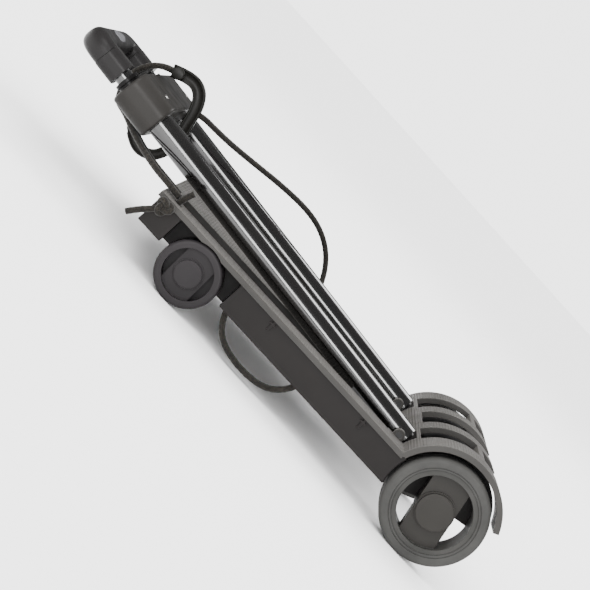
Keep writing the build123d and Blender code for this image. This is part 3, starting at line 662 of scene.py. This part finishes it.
# ---------------------------------------------------------------- tyres
TYRE_RADIUS, TYRE_BORE_RADIUS = 0.05, 0.0387
TYRE_HALF_WIDTH, TYRE_Y = 0.015, 0.112
BORE_CHAMFER_WIDTH, BORE_CHAMFER_HEIGHT = 0.0006, 0.0008
SHOULDER_RADIUS, SHOULDER_STEPS = 0.004, 8
SEAM_HALF_WIDTH, SEAM_FLOOR_HALF_WIDTH, SEAM_DEPTH = 0.0009, 0.0005, 0.0004
GROOVE_RADIUS = 0.041
GROOVE_HALF_WIDTH, GROOVE_FLOOR_HALF_WIDTH, GROOVE_DEPTH = 0.0006, 0.0002, 0.0006


def tyre_profile():
    """(y, radius) round the tyre's section, with the groove on the face at positive y."""
    half, outer, turn = TYRE_HALF_WIDTH, TYRE_RADIUS, SHOULDER_RADIUS
    chamfer_top = TYRE_BORE_RADIUS + BORE_CHAMFER_HEIGHT
    shoulder = []
    for step in range(SHOULDER_STEPS + 1):
        angle = pi / 2 * step / SHOULDER_STEPS
        shoulder.append((-half + turn - turn * cos(angle), outer - turn + turn * sin(angle)))
    plain_face = [
        (-half + BORE_CHAMFER_WIDTH, TYRE_BORE_RADIUS), (-half, chamfer_top),
        (-half, GROOVE_RADIUS - GROOVE_FLOOR_HALF_WIDTH), (-half, GROOVE_RADIUS + GROOVE_FLOOR_HALF_WIDTH),
    ]
    seam = [
        (-SEAM_HALF_WIDTH, outer), (-SEAM_FLOOR_HALF_WIDTH, outer - SEAM_DEPTH),
        (SEAM_FLOOR_HALF_WIDTH, outer - SEAM_DEPTH), (SEAM_HALF_WIDTH, outer),
    ]
    floor_y = half - GROOVE_DEPTH
    grooved_face = [
        (half, GROOVE_RADIUS + GROOVE_HALF_WIDTH), (floor_y, GROOVE_RADIUS + GROOVE_FLOOR_HALF_WIDTH),
        (floor_y, GROOVE_RADIUS - GROOVE_FLOOR_HALF_WIDTH), (half, GROOVE_RADIUS - GROOVE_HALF_WIDTH),
        (half, chamfer_top), (half - BORE_CHAMFER_WIDTH, TYRE_BORE_RADIUS),
    ]
    far_shoulder = [(-y, radius) for y, radius in reversed(shoulder)]
    return plain_face + shoulder + seam + far_shoulder + grooved_face


def add_tyre(side_name, side):
    """Hard tyre with rounded shoulders, a seam on the tread and a groove round its outer face."""
    profile = tyre_profile()
    if side < 0:
        profile = [(-y, radius) for y, radius in reversed(profile)]
    centre = Vector((REAR_AXLE.x, side * TYRE_Y, REAR_AXLE.z))
    piece = turned(f"rear_tyre_{side_name}_tread", centre, profile, MATERIALS["tyre_rubber"], 128, ring=True)
    for face in piece.data.polygons:
        face.use_smooth = True
    piece.data.set_sharp_from_angle(angle=radians(35))
    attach(piece, f"rear_wheel_{side_name}")
    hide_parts(f"rear_tyre_{side_name}")


# ---------------------------------------------------------------- grip
LEG_Y = 70
GRIP_SEAM, GRIP_END = 431, 459.5
GRIP_SEAM_GAP = 0.3
GRIP_HALF_WIDTH, GRIP_HALF_DEPTH = 12.5, 11.75
GRIP_CORNER_RADIUS, GRIP_CORNER_STEPS = 12, 12
GRIP_BAR_STEPS = 24
GRIP_STEP = 0.0015
# Share of the sweep over which each leg thickens, and by how many millimetres on each side.
GRIP_LEG_SHARE, GRIP_LEG_EXTRA = 0.14, 1.75


def grip_path():
    """Centreline of the U-shaped handle, from one ferrule round the crossbar to the other."""
    turn = GRIP_CORNER_RADIUS
    bar_s = GRIP_END - GRIP_HALF_DEPTH
    bar_half = LEG_Y - turn
    leg = [(GRIP_SEAM + GRIP_SEAM_GAP, LEG_Y)]
    for step in range(GRIP_CORNER_STEPS + 1):
        angle = pi / 2 * step / GRIP_CORNER_STEPS
        leg.append((bar_s - turn + turn * sin(angle), bar_half + turn * cos(angle)))
    near_leg = [(s, -y) for s, y in leg]
    bar = [(bar_s, -bar_half + 2 * bar_half * step / GRIP_BAR_STEPS) for step in range(1, GRIP_BAR_STEPS)]
    far_leg = list(reversed(leg))
    return metres([on_handle(s, 0, y) for s, y in near_leg + bar + far_leg])


def grip_section(share):
    """Rounded section of the handle, deeper where it meets the ferrules."""
    towards_end = abs(share - 0.5) * 2
    on_leg = max(0.0, towards_end - (1 - GRIP_LEG_SHARE)) / GRIP_LEG_SHARE
    return superellipse(GRIP_HALF_WIDTH / 1000, (GRIP_HALF_DEPTH + GRIP_LEG_EXTRA * on_leg) / 1000, 2.5, 48)


def add_grip():
    """Domed handle in one sweep, in place of the two plain shells."""
    line = even_line(grip_path(), GRIP_STEP)[0]
    piece = swept("grip_moulding", line, grip_section, MATERIALS["grip_plastic"], OFF_DECK.normalized())
    piece.data.set_sharp_from_angle(angle=radians(50))
    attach(piece, "grip_stage")
    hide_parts("grip_lower_shell", "grip_upper_shell")


# ---------------------------------------------------------------- release button
BUTTON_S = 447
BUTTON_HALF_LENGTH = 22
BUTTON_HALF_WIDTH, BUTTON_END_HALF_WIDTH = 6.48, 0.27
BUTTON_TOP = 13.6
BUTTON_EDGE_FALL, BUTTON_END_FALL = 1.4, 1.0
BAR_CROWN = 0.02
BUTTON_THICKNESS = 0.0025
BUTTON_ROWS, BUTTON_COLUMNS = 24, 16


def button_point(along, across):
    """Point on the button's top, where along and across run from -1 to 1 over it."""
    half_width = BUTTON_HALF_WIDTH * (1 - abs(along) ** 3.2) + BUTTON_END_HALF_WIDTH
    off_middle = half_width * across
    edge_fall = BUTTON_EDGE_FALL * abs(across) ** 2.4
    end_fall = BUTTON_END_FALL * abs(along) ** 4
    height = BUTTON_TOP - edge_fall - end_fall - BAR_CROWN * off_middle ** 2
    return in_metres(on_handle(BUTTON_S + off_middle, height, BUTTON_HALF_LENGTH * along))


def add_button():
    """Lens-shaped release button, domed to match the crossbar and a little proud of it."""
    mesh_data = bmesh.new()
    rows = []
    for row in range(BUTTON_ROWS + 1):
        along = -1 + 2 * row / BUTTON_ROWS
        rows.append([
            mesh_data.verts.new(button_point(along, -1 + 2 * column / BUTTON_COLUMNS))
            for column in range(BUTTON_COLUMNS + 1)
        ])
    for before, after in zip(rows, rows[1:]):
        for column in range(BUTTON_COLUMNS):
            mesh_data.faces.new((before[column], before[column + 1], after[column + 1], after[column]))
    extruded = bmesh.ops.extrude_face_region(mesh_data, geom=list(mesh_data.faces))
    for item in extruded["geom"]:
        if isinstance(item, bmesh.types.BMVert):
            item.co -= OFF_DECK * BUTTON_THICKNESS
    bmesh.ops.recalc_face_normals(mesh_data, faces=mesh_data.faces)
    piece = mesh_object("release_button_lens", mesh_data, MATERIALS["button_plastic"])
    piece.data.set_sharp_from_angle(angle=radians(40))
    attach(piece, "button")
    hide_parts("release_button")


# ---------------------------------------------------------------- everything in place
knot = add_knot()
stub = add_cord("cord_stub", "base")
add_cord("cord_tail", "base")
add_cord("cord_loop_lower", "base")
hook = add_hook()
add_cord("cord_strand_front", "handle_frame")
add_cord("cord_strand_back", "handle_frame")
add_cord("cord_loop_upper", "handle_frame")
for side_name, side in (("left", -1), ("right", 1)):
    add_tyre(side_name, side)
add_grip()
add_button()
